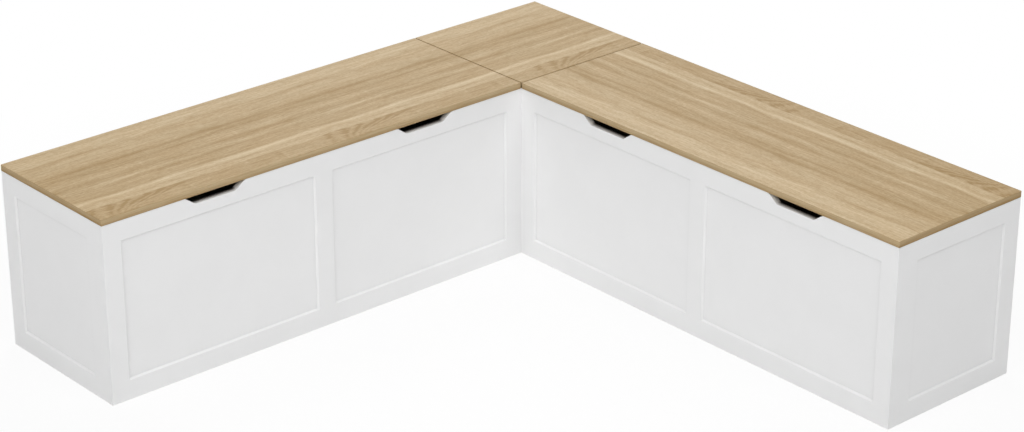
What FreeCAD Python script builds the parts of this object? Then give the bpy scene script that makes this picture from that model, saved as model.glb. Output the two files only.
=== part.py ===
import FreeCAD, Part

import os

import Sketcher
from FreeCAD import Placement, Rotation, Vector

# Corner storage bench, in millimetres. +X runs along the right wing, +Y runs to the wall behind the
# right wing, and +Z is up. The left wing runs along Y and opens to +X. The origin is on the floor,
# below the centre of the whole bench's box.
#
# Each wing's storage bench is drawn in its own frame, as seen from its front: x from left to right,
# y from the front face to the wall, z up. Its pieces are then turned and set in place together.
# The corner unit is drawn in a frame parallel to the whole bench's. It starts at the wall behind the
# left wing and at the left bench's side, so its planes y = 0 and x = unit_depth touch the benches.

# Driving dimensions: the sheet's name for each, its value, and what it measures
DIMENSIONS = (
    ("wing_length", 1600.0, "outer length of a wing along the wall, corner included"),
    ("seat_depth", 400.0, "depth of the tops, from the wall to the front edge"),
    ("seat_height", 450.0, "floor to the upper face of the tops"),
    ("board", 15.0, "thickness of every board"),
    ("front_overhang", 1.1, "how far a top stands out past the front panel"),
    ("end_overhang", 0.5, "how far a lid stands out past the end panel"),
    ("lid_clearance", 0.6, "space between a closed lid and the boards below it"),
    ("seam", 3.0, "gap between a lid and the corner top"),
    ("edge_round", 0.8, "rounding of the tops' edges"),
    ("panel_round", 0.4, "rounding of the white panels' visible edges"),
    ("frame_width", 47.0, "width of the frame left around each sunk field"),
    ("field_depth", 4.5, "depth of the sunk fields"),
    ("field_slope", 4.0, "width of the sloping border inside each sunk field"),
    ("field_step", 0.2, "step at the foot of the sloping border"),
    ("notch_top", 162.0, "width of a finger notch at the panel's upper edge"),
    ("notch_bottom", 110.0, "width of a finger notch at its lower edge"),
    ("notch_depth", 19.0, "depth of a finger notch below the panel's upper edge"),
    ("notch_round", 14.0, "rounding of a finger notch's corners"),
    ("notch_offset", 300.0, "notch centre from the middle of the bench"),
    ("floor_space", 30.0, "floor to the underside of the bottom panel"),
    ("post_width", 45.0, "side of the square corner post"),
    ("cleat_width", 20.0, "width of the cleats that carry the corner top"),
    ("cleat_height", 30.0, "height of the cleats"),
    ("hinge_length", 60.0, "length of a hinge along its pin"),
    ("hinge_leaf_width", 13.5, "width of the leaf that lies between the boards"),
    ("hinge_leaf", 1.5, "thickness of a leaf"),
    ("hinge_leaf_gap", 0.3, "space between the two closed leaves"),
    ("hinge_setback", 3.4, "pin axis behind the back face"),
    ("hinge_knuckle_radius", 3.0, "outer radius of the knuckles"),
    ("hinge_pin_radius", 1.5, "radius of the pin"),
    ("hinge_pin_play", 0.05, "radial clearance of the pin in its knuckles"),
    ("hinge_knuckle_gap", 0.3, "space between neighbouring knuckles"),
    ("hinge_inset", 120.0, "centre of the outer hinges from the ends of the bench"),
    ("hinge_screw_pitch", 20.0, "distance between the screws of a leaf"),
    ("pad_radius", 5.0, "radius of the lid pads"),
    ("pad_height", 2.2, "height of the lid pads"),
    ("pad_space", 0.3, "space between the pads and the closed lid"),
    ("hardware_fit", 0.05, "radial clearance of cams, bolts, dowels and screws in their holes"),
    ("cam_radius", 7.5, "radius of a cam lock's hole"),
    ("cam_depth", 12.5, "depth of a cam lock's hole"),
    ("cam_setback", 24.0, "centre of a cam lock from the edge of its board"),
    ("bolt_bore_radius", 4.0, "radius of the bore that the cam bolt passes through"),
    ("bolt_thread_radius", 3.0, "radius of the cam bolt's threaded end"),
    ("bolt_thread_depth", 11.0, "depth of the threaded end in its board"),
    ("dowel_radius", 4.0, "radius of a wooden dowel"),
    ("dowel_face_depth", 9.0, "depth of a dowel in the face of a board"),
    ("dowel_edge_depth", 21.0, "depth of a dowel in the edge of a board"),
)


class Size:
    """A length that keeps its value and the expression that ties it to the dimension sheet."""

    def __init__(self, value, text=None):
        self.value = float(value)
        self.text = text or "(%s)" % self.value

    @staticmethod
    def of(other):
        return other if isinstance(other, Size) else Size(other)

    def __add__(self, other):
        other = Size.of(other)
        return Size(self.value + other.value, "(%s + %s)" % (self.text, other.text))

    def __sub__(self, other):
        other = Size.of(other)
        return Size(self.value - other.value, "(%s - %s)" % (self.text, other.text))

    def __mul__(self, other):
        other = Size.of(other)
        return Size(self.value * other.value, "(%s * %s)" % (self.text, other.text))

    def __truediv__(self, other):
        other = Size.of(other)
        return Size(self.value / other.value, "(%s / %s)" % (self.text, other.text))

    def __neg__(self):
        return self * -1

    def __radd__(self, other):
        return Size.of(other) + self

    def __rsub__(self, other):
        return Size.of(other) - self


class Dimensions:
    """The dimension sheet, read by name."""

    def __init__(self, document, rows):
        self.sheet = document.addObject("Spreadsheet::Sheet", "Dims")
        for number, (name, value, meaning) in enumerate(rows, start=1):
            self.sheet.set("A%d" % number, str(value))
            self.sheet.setAlias("A%d" % number, name)
            self.sheet.set("B%d" % number, "'" + meaning)
            setattr(self, name, Size(value, "Dims.%s" % name))


doc = FreeCAD.newDocument("corner_storage_bench")
dim = Dimensions(doc, DIMENSIONS)
doc.recompute()

ZERO = Size(0.0)

# Levels and lengths that follow from the driving dimensions
lid_underside = dim.seat_height - dim.board
carcass_height = lid_underside - dim.lid_clearance
unit_depth = dim.seat_depth - dim.front_overhang
bench_length = dim.wing_length - dim.end_overhang - unit_depth
inner_start = dim.board
inner_end = bench_length - dim.board
back_start = unit_depth - dim.board
back_middle = unit_depth - dim.board / 2
bottom_top = dim.floor_space + dim.board
bottom_middle = dim.floor_space + dim.board / 2
bench_middle = bench_length / 2
divider_start = bench_middle - dim.board / 2
divider_height = lid_underside - dim.pad_space - dim.pad_height
hinge_level = lid_underside - dim.lid_clearance / 2
hinge_protrusion = dim.hinge_setback + dim.hinge_knuckle_radius
mortise_depth = dim.hinge_leaf + dim.hinge_leaf_gap / 2 - dim.lid_clearance / 2

# Places of the fasteners along the board joints
CAM_HEIGHTS = (90.0, 350.0)
DOWEL_HEIGHTS = (150.0, 290.0)
BACK_SCREW_HEIGHTS = (120.0, 320.0)
CORNER_CAM_HEIGHTS = (120.0, 320.0)
CORNER_DOWEL_HEIGHTS = (180.0, 260.0)
CORNER_SCREW_HEIGHTS = (60.0, 220.0, 380.0)
BOTTOM_CAM_DEPTHS = (80.0, 320.0)
BOTTOM_DOWEL_DEPTH = 200.0
BOTTOM_DOWEL_FRACTIONS = (0.12, 0.37, 0.63, 0.88)
DIVIDER_DOWEL_DEPTHS = (120.0, 280.0)
PAD_DEPTHS = (60.0, 200.0, 340.0)
POST_SCREW_HEIGHTS = {"left": (100.0, 330.0), "right": (140.0, 370.0)}
POST_SCREW_DEPTH = 30.0
CLEAT_SCREW_DEPTHS = (120.0, 280.0)
TOP_SCREW_PLACES = (70.0, 200.0, 320.0)

# Screws: shank radius, length below the head, head radius, head height
HINGE_SCREW = (1.5, 12.0, 2.9, 1.5)
HINGE_EDGE_SCREW = (1.5, 20.0, 2.9, 1.5)
BACK_SCREW = (2.5, 44.0, 5.0, 3.0)
JOINING_SCREW = (2.0, 30.0, 4.5, 2.6)
TOP_SCREW = (2.0, 39.0, 4.5, 2.6)

# The origin plane across each axis, and the way its normal points along that axis
PLANES = {"x": ("YZ_Plane", 1), "y": ("XZ_Plane", -1), "z": ("XY_Plane", 1)}

# Rotations that turn +Z to each direction
TURN_TO = {
    ("x", 1): Rotation(Vector(0, 1, 0), 90),
    ("x", -1): Rotation(Vector(0, 1, 0), -90),
    ("y", 1): Rotation(Vector(1, 0, 0), -90),
    ("y", -1): Rotation(Vector(1, 0, 0), 90),
    ("z", 1): Rotation(),
    ("z", -1): Rotation(Vector(1, 0, 0), 180),
}
ALONG_PIN = TURN_TO["x", 1]
LENGTH_TOLERANCE = 1e-4
VOLUME_TOLERANCE = 1e-3
finished = []


def place(item, spot, rotation=None):
    """Puts an object's origin at three sizes, turned as asked."""
    item.Placement = Placement(Vector(*(size.value for size in spot)), rotation or Rotation())
    for axis, size in zip("xyz", spot):
        item.setExpression("Placement.Base." + axis, size.text)


def finish(item, label, frame):
    """Names a finished sub-part and moves it with the frame that it was drawn in."""
    item.Label = label
    place(item, *frame)
    finished.append(item)


def on_axis(spot, axis):
    """The coordinate of a point along one axis."""
    return spot["xyz".index(axis)]


def at_level(spot, axis, level):
    """A point with one of its coordinates set to a level."""
    return tuple(level if name == axis else size for name, size in zip("xyz", spot))


def flat(spot, axis):
    """The two coordinates of a point that lie in the plane across an axis."""
    return tuple(size for name, size in zip("xyz", spot) if name != axis)


def lies_on(axis, level):
    """A test for edges that lie wholly at one level along an axis."""
    def test(edge):
        low = getattr(edge.BoundBox, axis.upper() + "Min")
        high = getattr(edge.BoundBox, axis.upper() + "Max")
        return max(abs(low - level.value), abs(high - level.value)) < LENGTH_TOLERANCE
    return test


class Board:
    """A rectangular board, cut and drilled as one body."""

    def __init__(self, label, thin_axis, low, high):
        self.label = label
        self.low = low
        self.high = high
        self.thin_axis = thin_axis
        self.drillings = {}
        self.count = 0
        self.body = doc.addObject("PartDesign::Body", label)
        sketch = self.sketch(thin_axis, on_axis(low, thin_axis))
        self.rectangle(sketch, flat(low, thin_axis), flat(high, thin_axis))
        pad = self.new("PartDesign::Pad", "pad")
        pad.Profile = sketch
        pad.Reversed = PLANES[thin_axis][1] < 0
        pad.setExpression("Length", (on_axis(high, thin_axis) - on_axis(low, thin_axis)).text)

    def new(self, kind, word):
        self.count += 1
        return self.body.newObject(kind, "%s_%s_%d" % (self.label, word, self.count))

    def sketch(self, axis, level):
        """Starts a sketch across an axis, at a level along it."""
        role, normal = PLANES[axis]
        plane = next(item for item in self.body.Origin.OriginFeatures if item.Role == role)
        sketch = self.new("Sketcher::SketchObject", "sketch")
        sketch.AttachmentSupport = (plane, [""])
        sketch.MapMode = "FlatFace"
        sketch.setExpression("AttachmentOffset.Base.z", (level * normal).text)
        return sketch

    @staticmethod
    def hold(sketch, kind, size, *where):
        """Adds a dimension to a sketch and ties it to the sheet."""
        index = sketch.addConstraint(Sketcher.Constraint(kind, *where, size.value))
        sketch.renameConstraint(index, "size_%d" % index)
        sketch.setExpression("Constraints.size_%d" % index, size.text)

    def outline(self, sketch, corners):
        """Draws a closed outline through its corners, each held at its place."""
        first = sketch.GeometryCount
        points = [Vector(u.value, v.value, 0) for u, v in corners]
        for start, end in zip(points, points[1:] + points[:1]):
            sketch.addGeometry(Part.LineSegment(start, end))
        for number, (u, v) in enumerate(corners):
            line = first + number
            following = first + (number + 1) % len(corners)
            sketch.addConstraint(Sketcher.Constraint("Coincident", line, 2, following, 1))
            self.hold(sketch, "DistanceX", u, -1, 1, line, 1)
            self.hold(sketch, "DistanceY", v, -1, 1, line, 1)

    def rectangle(self, sketch, low, high):
        self.outline(sketch, [low, (high[0], low[1]), high, (low[0], high[1])])

    def circle(self, sketch, centre, radius):
        middle = Vector(centre[0].value, centre[1].value, 0)
        number = sketch.addGeometry(Part.Circle(middle, Vector(0, 0, 1), radius.value))
        self.hold(sketch, "DistanceX", centre[0], -1, 1, number, 3)
        self.hold(sketch, "DistanceY", centre[1], -1, 1, number, 3)
        self.hold(sketch, "Radius", radius, number)

    def pocket(self, sketch, axis, towards, depth):
        """Cuts a sketch into the board, towards the high (1) or low (-1) end of an axis."""
        pocket = self.new("PartDesign::Pocket", "pocket")
        pocket.Profile = sketch
        pocket.Reversed = towards == PLANES[axis][1]
        pocket.setExpression("Length", depth.text)

    def inside_face(self, axis, level):
        """A test for edges that lie on a face of the board, away from its outline."""
        on_face = lies_on(axis, level)
        limits = list(zip(flat("xyz", axis), flat(self.low, axis), flat(self.high, axis)))

        def test(edge):
            middle = edge.BoundBox.Center
            return on_face(edge) and all(
                low.value + LENGTH_TOLERANCE < getattr(middle, name) < high.value - LENGTH_TOLERANCE
                for name, low, high in limits
            )
        return test

    def sink_fields(self, axis, level, towards, corner_pairs):
        """Sinks framed fields with sloping borders into a face, each given by its corners there."""
        sketch = self.sketch(axis, level)
        for low, high in corner_pairs:
            floor_low = tuple(size + dim.field_slope for size in low)
            floor_high = tuple(size - dim.field_slope for size in high)
            self.rectangle(sketch, floor_low, floor_high)
        self.pocket(sketch, axis, towards, dim.field_depth)
        base, edges = self.pick(self.inside_face(axis, level))
        border = self.new("PartDesign::Chamfer", "border")
        border.Base = (base, edges)
        border.ChamferType = "Two distances"
        border.setExpression("Size", dim.field_slope.text)
        border.setExpression("Size2", (dim.field_depth - dim.field_step).text)

    def pick(self, wanted):
        """The board so far, and the names of its edges that pass a test."""
        doc.recompute()
        base = self.body.Tip
        numbered = enumerate(base.Shape.Edges, start=1)
        return base, ["Edge%d" % number for number, edge in numbered if wanted(edge)]

    def round_edges(self, radius, wanted):
        """Rounds every edge that a test picks."""
        base, edges = self.pick(wanted)
        fillet = self.new("PartDesign::Fillet", "fillet")
        fillet.Base = (base, edges)
        fillet.setExpression("Radius", radius.text)

    def middle(self):
        """The level halfway through the board."""
        return (on_axis(self.low, self.thin_axis) + on_axis(self.high, self.thin_axis)) / 2

    def face(self, side):
        """The level of the board's high (1) or low (-1) face."""
        return on_axis(self.high if side > 0 else self.low, self.thin_axis)

    def drill(self, axis, towards, radius, depth, spot):
        """Keeps a round hole for later: it starts at a spot and runs along an axis."""
        level = on_axis(spot, axis)
        key = (axis, level.text, towards, radius.text, depth.text)
        group = self.drillings.setdefault(key, (axis, level, towards, radius, depth, []))
        group[-1].append(flat(spot, axis))

    def close(self, frame):
        """Makes the holes, like ones together, and finishes the board."""
        for axis, level, towards, radius, depth, centres in self.drillings.values():
            sketch = self.sketch(axis, level)
            for centre in centres:
                self.circle(sketch, centre, radius)
            self.pocket(sketch, axis, towards, depth)
        finish(self.body, self.label, frame)


class Fasteners:
    """Copies of one fastener, gathered into a single node of separate solids."""

    def __init__(self, label, model):
        self.label = label
        self.model = model
        self.copies = []

    def add(self, spot, rotation=None):
        copy = doc.addObject("App::Link", "%s_%d" % (self.label, len(self.copies) + 1))
        copy.LinkedObject = self.model
        place(copy, spot, rotation)
        self.copies.append(copy)

    def close(self, frame):
        group = doc.addObject("Part::Compound", self.label)
        group.Links = self.copies
        finish(group, self.label, frame)


def primitive(kind, sizes, spot=(ZERO, ZERO, ZERO), rotation=None):
    """Adds a plain solid with its sizes tied to the sheet."""
    item = doc.addObject("Part::" + kind, kind)
    for name, size in sizes.items():
        item.setExpression(name, Size.of(size).text)
    place(item, [Size.of(size) for size in spot], rotation)
    return item


def fused(name, items):
    """Joins overlapping solids into one."""
    union = doc.addObject("Part::MultiFuse", name)
    union.Shapes = items
    return union


def cut(name, base, tools):
    """Takes a list of solids away from one."""
    result = doc.addObject("Part::Cut", name)
    result.Base = base
    result.Tool = fused(name + "_tools", tools) if len(tools) > 1 else tools[0]
    return result


# Fasteners, each drawn once at the origin

def make_driver_recess(name, width, depth, top):
    """The two crossed slots that a screwdriver fits."""
    slot = Size(0.8)
    bars = []
    for length, breadth in ((Size(width), slot), (slot, Size(width))):
        sizes = {"Length": length, "Width": breadth, "Height": depth + 1}
        bars.append(primitive("Box", sizes, (-length / 2, -breadth / 2, top - depth)))
    return fused(name, bars)


def make_screw(name, sizes, sunk):
    """A wood screw that points down, with z = 0 at a sunk head's face or a round head's seat."""
    shank, length, head, head_height = map(Size, sizes)
    tip = shank * 2
    straight = length - tip
    if sunk:
        head_sizes = {"Radius1": shank, "Radius2": head, "Height": head_height}
        head_solid = primitive("Cone", head_sizes, (0, 0, -head_height))
        shank_top = -head_height
        head_top = ZERO
    else:
        head_solid = primitive("Cylinder", {"Radius": head, "Height": head_height})
        shank_top = ZERO
        head_top = head_height
    straight_end = shank_top - straight
    shank_solid = primitive("Cylinder", {"Radius": shank, "Height": straight}, (0, 0, straight_end))
    tip_sizes = {"Radius1": shank * 0.2, "Radius2": shank, "Height": tip}
    tip_solid = primitive("Cone", tip_sizes, (0, 0, straight_end - tip))
    blank = fused(name + "_blank", [head_solid, shank_solid, tip_solid])
    recess = make_driver_recess(name + "_recess", head.value, head_height * 0.6, head_top)
    return cut(name, blank, [recess])


def make_cam():
    """A cam lock with its face just below z = 0 and its mouth towards +x."""
    sunk = Size(0.1)
    sizes = {"Radius": dim.cam_radius - dim.hardware_fit, "Height": dim.cam_depth - sunk * 2}
    drum = primitive("Cylinder", sizes, (0, 0, sunk - dim.cam_depth))
    mouth_radius = dim.bolt_bore_radius - 0.2
    mouth_back = Size(-3.0)
    mouth_sizes = {"Radius": mouth_radius, "Height": dim.cam_radius - mouth_back + 1}
    mouth = primitive("Cylinder", mouth_sizes, (mouth_back, 0, -dim.board / 2), TURN_TO["x", 1])
    recess = make_driver_recess("cam_recess", dim.cam_radius.value, Size(2.0), ZERO)
    return cut("cam_model", drum, [mouth, recess])


def make_cam_bolt():
    """A cam bolt along z: its threaded end below z = 0, its collar, shank, neck and head above."""
    collar_length = Size(1.0)
    neck_length = Size(3.0)
    head_length = Size(2.6)
    shank_length = dim.cam_setback + 1 - head_length - neck_length
    thread_length = dim.bolt_thread_depth - 0.5
    stages = (
        (dim.bolt_thread_radius - dim.hardware_fit, thread_length, -thread_length),
        (dim.bolt_bore_radius - 0.3, collar_length, ZERO),
        (Size(2.4), shank_length, ZERO),
        (Size(1.5), neck_length, shank_length),
        (Size(3.4), head_length, shank_length + neck_length),
    )
    return fused("cam_bolt_model", [
        primitive("Cylinder", {"Radius": radius, "Height": height}, (0, 0, start))
        for radius, height, start in stages
    ])


def make_dowel():
    """A wooden dowel along z with bevelled ends, its shorter stretch below z = 0."""
    radius = dim.dowel_radius - dim.hardware_fit
    bevel = Size(1.0)
    end_gap = Size(0.2)
    low = end_gap - dim.dowel_face_depth
    high = dim.dowel_edge_depth - end_gap
    lower = {"Radius1": radius - bevel, "Radius2": radius, "Height": bevel}
    upper = {"Radius1": radius, "Radius2": radius - bevel, "Height": bevel}
    straight = {"Radius": radius, "Height": high - low - bevel * 2}
    return fused("dowel_model", [
        primitive("Cone", lower, (0, 0, low)),
        primitive("Cylinder", straight, (0, 0, low + bevel)),
        primitive("Cone", upper, (0, 0, high - bevel)),
    ])


# The hinge is drawn with its pin along x through the origin, and its closed leaves towards -y.
hinge_reach = dim.hinge_setback + dim.hinge_leaf_width
hinge_clear = dim.hinge_knuckle_radius + dim.hinge_knuckle_gap
knuckle_length = (dim.hinge_length - dim.hinge_knuckle_gap * 4) / 5


def make_hinge_leaf(name, side, knuckles):
    """The leaf above (1) or below (-1) the closed gap, with its own knuckles out of five."""
    shank, _, head, _ = HINGE_SCREW
    start = -dim.hinge_length / 2
    gap_face = dim.hinge_leaf_gap / 2 * side
    low = gap_face if side > 0 else gap_face - dim.hinge_leaf
    plate = {"Length": dim.hinge_length, "Width": hinge_reach - hinge_clear, "Height": dim.hinge_leaf}
    solids = [primitive("Box", plate, (start, -hinge_reach, low))]
    for number in knuckles:
        knuckle_start = start + (knuckle_length + dim.hinge_knuckle_gap) * number
        root = {"Length": knuckle_length, "Width": hinge_clear, "Height": dim.hinge_leaf}
        barrel = {"Radius": dim.hinge_knuckle_radius, "Height": knuckle_length}
        solids.append(primitive("Box", root, (knuckle_start, -hinge_clear, low)))
        solids.append(primitive("Cylinder", barrel, (knuckle_start, 0, 0), ALONG_PIN))
    bore = {"Radius": dim.hinge_pin_radius + dim.hinge_pin_play, "Height": dim.hinge_length + 2}
    holes = [primitive("Cylinder", bore, (start - 1, 0, 0), ALONG_PIN)]
    # Each screw hole is a cone that narrows away from the closed gap.
    narrow, wide = (radius + dim.hardware_fit for radius in (shank, head))
    below, above = (wide, narrow) if side > 0 else (narrow, wide)
    for step in (-1, 0, 1):
        sizes = {"Radius1": below, "Radius2": above, "Height": dim.hinge_leaf}
        spot = (dim.hinge_screw_pitch * step, -dim.hinge_setback - dim.board / 2, low)
        holes.append(primitive("Cone", sizes, spot))
    return cut(name, fused(name + "_blank", solids), holes)


def make_hinge_pin():
    """A pin with a small head past each end knuckle."""
    head_length = Size(0.8)
    head_space = Size(0.1)
    end = dim.hinge_length / 2 + head_space
    shaft = {"Radius": dim.hinge_pin_radius, "Height": end * 2}
    head = {"Radius": dim.hinge_pin_radius + 0.7, "Height": head_length}
    return fused("hinge_pin_model", [
        primitive("Cylinder", shaft, (-end, 0, 0), ALONG_PIN),
        primitive("Cylinder", head, (-end - head_length, 0, 0), ALONG_PIN),
        primitive("Cylinder", head, (end, 0, 0), ALONG_PIN),
    ])


cam_model = make_cam()
cam_bolt_model = make_cam_bolt()
dowel_model = make_dowel()
pad_model = primitive("Cylinder", {"Radius": dim.pad_radius, "Height": dim.pad_height})
hinge_screw_model = make_screw("hinge_screw_model", HINGE_SCREW, sunk=True)
hinge_edge_screw_model = make_screw("hinge_edge_screw_model", HINGE_EDGE_SCREW, sunk=True)
back_screw_model = make_screw("back_screw_model", BACK_SCREW, sunk=True)
joining_screw_model = make_screw("joining_screw_model", JOINING_SCREW, sunk=False)
top_screw_model = make_screw("top_screw_model", TOP_SCREW, sunk=False)
fixed_leaf_model = make_hinge_leaf("fixed_leaf_model", -1, (0, 2, 4))
lid_leaf_model = make_hinge_leaf("lid_leaf_model", 1, (1, 3))
hinge_pin_model = make_hinge_pin()


# Board joints

UNIT = {"x": Vector(1, 0, 0), "y": Vector(0, 1, 0), "z": Vector(0, 0, 1)}


def cam_turn(face_axis, face_side, mouth_axis, mouth_side):
    """Turns a cam so that its face looks along one axis and its mouth along another."""
    face = UNIT[face_axis] * face_side
    mouth = UNIT[mouth_axis] * mouth_side
    return Rotation(mouth, face.cross(mouth), face, "ZXY")


class Joinery:
    """The cams, bolts and dowels of one unit, with the holes that they need."""

    def __init__(self, unit):
        self.cams = Fasteners(unit + "_cams", cam_model)
        self.bolts = Fasteners(unit + "_cam_bolts", cam_bolt_model)
        self.dowels = Fasteners(unit + "_dowels", dowel_model)

    @staticmethod
    def socket(face_board, spot, axis, towards, dowel):
        """Drills a board's face for a bolt or a dowel that comes out towards a direction."""
        radius = dim.dowel_radius if dowel else dim.bolt_thread_radius
        depth = dim.dowel_face_depth if dowel else dim.bolt_thread_depth
        face_board.drill(axis, -towards, radius, depth, spot)

    def cam_in(self, edge_board, spot, axis, towards, cam_side):
        """Runs a bolt into a board's edge, to a cam in the board's high or low face."""
        edge_board.drill(axis, towards, dim.bolt_bore_radius, dim.cam_setback, spot)
        thin = edge_board.thin_axis
        centre = at_level(spot, axis, on_axis(spot, axis) + dim.cam_setback * towards)
        centre = at_level(centre, thin, edge_board.face(cam_side))
        edge_board.drill(thin, -cam_side, dim.cam_radius, dim.cam_depth, centre)
        self.bolts.add(spot, TURN_TO[axis, towards])
        self.cams.add(centre, cam_turn(thin, cam_side, axis, -towards))

    def dowel_in(self, edge_board, spot, axis, towards):
        """Runs a dowel into a board's edge."""
        edge_board.drill(axis, towards, dim.dowel_radius, dim.dowel_edge_depth, spot)
        self.dowels.add(spot, TURN_TO[axis, towards])

    def cam(self, face_board, edge_board, spot, axis, towards, cam_side):
        self.socket(face_board, spot, axis, towards, dowel=False)
        self.cam_in(edge_board, spot, axis, towards, cam_side)

    def dowel(self, face_board, edge_board, spot, axis, towards):
        self.socket(face_board, spot, axis, towards, dowel=True)
        self.dowel_in(edge_board, spot, axis, towards)

    def close(self, frame):
        for group in (self.cams, self.bolts, self.dowels):
            group.close(frame)


def screw_hole(board, spot, axis, towards, sizes, depth):
    """A plain hole for a screw's shank."""
    board.drill(axis, towards, sizes[0] + dim.hardware_fit, Size.of(depth), spot)


def back_screw_holes(back_board, edge_board, spot, axis, towards):
    """Holes for a screw whose sunk head lies in one board and whose end holds another."""
    head_radius = BACK_SCREW[2] + dim.hardware_fit
    total = BACK_SCREW[1] + BACK_SCREW[3]
    back_board.drill(axis, towards, head_radius, Size(BACK_SCREW[3]), spot)
    screw_hole(back_board, spot, axis, towards, BACK_SCREW, dim.board)
    inner = at_level(spot, axis, on_axis(spot, axis) + dim.board * towards)
    screw_hole(edge_board, inner, axis, towards, BACK_SCREW, total - dim.board)


def corner_screw_places(side):
    """Depth and height of the screws that hold a bench to the corner's post and cleat."""
    places = [(Size(POST_SCREW_DEPTH), Size(height)) for height in POST_SCREW_HEIGHTS[side]]
    cleat_middle = lid_underside - dim.cleat_height / 2
    return places + [(Size(depth), cleat_middle) for depth in CLEAT_SCREW_DEPTHS]


# Storage bench

def is_notch_corner(edge):
    """Tells whether an edge runs through a front panel, away from the panel's own corners."""
    box = edge.BoundBox
    runs_through = abs(box.YLength - dim.board.value) < LENGTH_TOLERANCE
    return runs_through and LENGTH_TOLERANCE < box.Center.x < bench_length.value - LENGTH_TOLERANCE


def make_front_panel(side, outer_side):
    """The framed front, with two sunk fields and two finger notches in its upper edge."""
    panel = Board(side + "_front_panel", "y", (ZERO, ZERO, ZERO), (bench_length, dim.board, carcass_height))
    frame = dim.frame_width
    top = carcass_height - frame
    panel.sink_fields("y", ZERO, 1, (
        ((frame, frame), (bench_middle - frame / 2, top)),
        ((bench_middle + frame / 2, frame), (bench_length - frame, top)),
    ))
    sketch = panel.sketch("y", ZERO)
    notch_floor = carcass_height - dim.notch_depth
    for step in (-1, 1):
        centre = bench_middle + dim.notch_offset * step
        panel.outline(sketch, [
            (centre - dim.notch_bottom / 2, notch_floor),
            (centre + dim.notch_bottom / 2, notch_floor),
            (centre + dim.notch_top / 2, carcass_height),
            (centre - dim.notch_top / 2, carcass_height),
        ])
    panel.pocket(sketch, "y", 1, dim.board)
    panel.round_edges(dim.notch_round, is_notch_corner)
    on_front = lies_on("y", ZERO)
    at_inner_end = lies_on("x", ZERO if outer_side > 0 else bench_length)
    panel.round_edges(dim.panel_round, lambda edge: on_front(edge) and not at_inner_end(edge))
    return panel


def make_upright(label, low_x):
    """A plain upright board between the front and the wall."""
    low = (low_x, dim.board, ZERO)
    return Board(label, "x", low, (low_x + dim.board, unit_depth, carcass_height))


def frame_upright(panel, outer_side):
    """Sinks a field into the side of an upright that is seen, and rounds that side."""
    level = panel.face(outer_side)
    low = (dim.board + dim.frame_width, dim.frame_width)
    high = (unit_depth - dim.frame_width, carcass_height - dim.frame_width)
    panel.sink_fields("x", level, -outer_side, ((low, high),))
    panel.round_edges(dim.panel_round, lies_on("x", level))


def make_lid(side, outer_side):
    """A lid that stands out a little past the end panel and stops short of the corner top."""
    seam_inset = dim.front_overhang + dim.seam / 2
    ends = (-dim.end_overhang, bench_length - seam_inset)
    if outer_side > 0:
        ends = (seam_inset, bench_length + dim.end_overhang)
    lid = Board(side + "_lid", "z", (ends[0], -dim.front_overhang, lid_underside),
                (ends[1], unit_depth, dim.seat_height))
    lid.round_edges(dim.edge_round, lambda edge: True)
    return lid


def cut_hinge_mortises(board, level, towards, centres):
    """Makes room for the hinge leaves in a board, open at its back."""
    room = Size(0.2)
    half = dim.hinge_length / 2 + room
    sketch = board.sketch("z", level)
    for centre in centres:
        low = (centre - half, unit_depth - dim.hinge_leaf_width - room)
        board.rectangle(sketch, low, (centre + half, unit_depth + 1))
    board.pocket(sketch, "z", towards, mortise_depth)


def fit_hinges(side, back, lid, frame):
    """Hangs a lid on its back panel with three butt hinges."""
    centres = (dim.hinge_inset, bench_middle, bench_length - dim.hinge_inset)
    cut_hinge_mortises(back, carcass_height, -1, centres)
    cut_hinge_mortises(lid, lid_underside, 1, centres)
    hinges = [
        Fasteners(side + "_hinge_fixed_leaves", fixed_leaf_model),
        Fasteners(side + "_hinge_lid_leaves", lid_leaf_model),
        Fasteners(side + "_hinge_pins", hinge_pin_model),
    ]
    edge_screws = Fasteners(side + "_fixed_leaf_screws", hinge_edge_screw_model)
    lid_screws = Fasteners(side + "_lid_leaf_screws", hinge_screw_model)
    half_gap = dim.hinge_leaf_gap / 2
    for centre in centres:
        for group in hinges:
            group.add((centre, unit_depth + dim.hinge_setback, hinge_level))
        for step in (-1, 0, 1):
            x = centre + dim.hinge_screw_pitch * step
            edge_screws.add((x, back_middle, hinge_level - half_gap), TURN_TO["z", 1])
            lid_screws.add((x, back_middle, hinge_level + half_gap), TURN_TO["z", -1])
            edge_depth = HINGE_EDGE_SCREW[1] + HINGE_EDGE_SCREW[3]
            screw_hole(back, (x, back_middle, carcass_height), "z", -1, HINGE_EDGE_SCREW, edge_depth)
            lid_depth = HINGE_SCREW[1] + HINGE_SCREW[3]
            screw_hole(lid, (x, back_middle, lid_underside), "z", 1, HINGE_SCREW, lid_depth)
    for group in hinges + [edge_screws, lid_screws]:
        group.close(frame)


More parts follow.
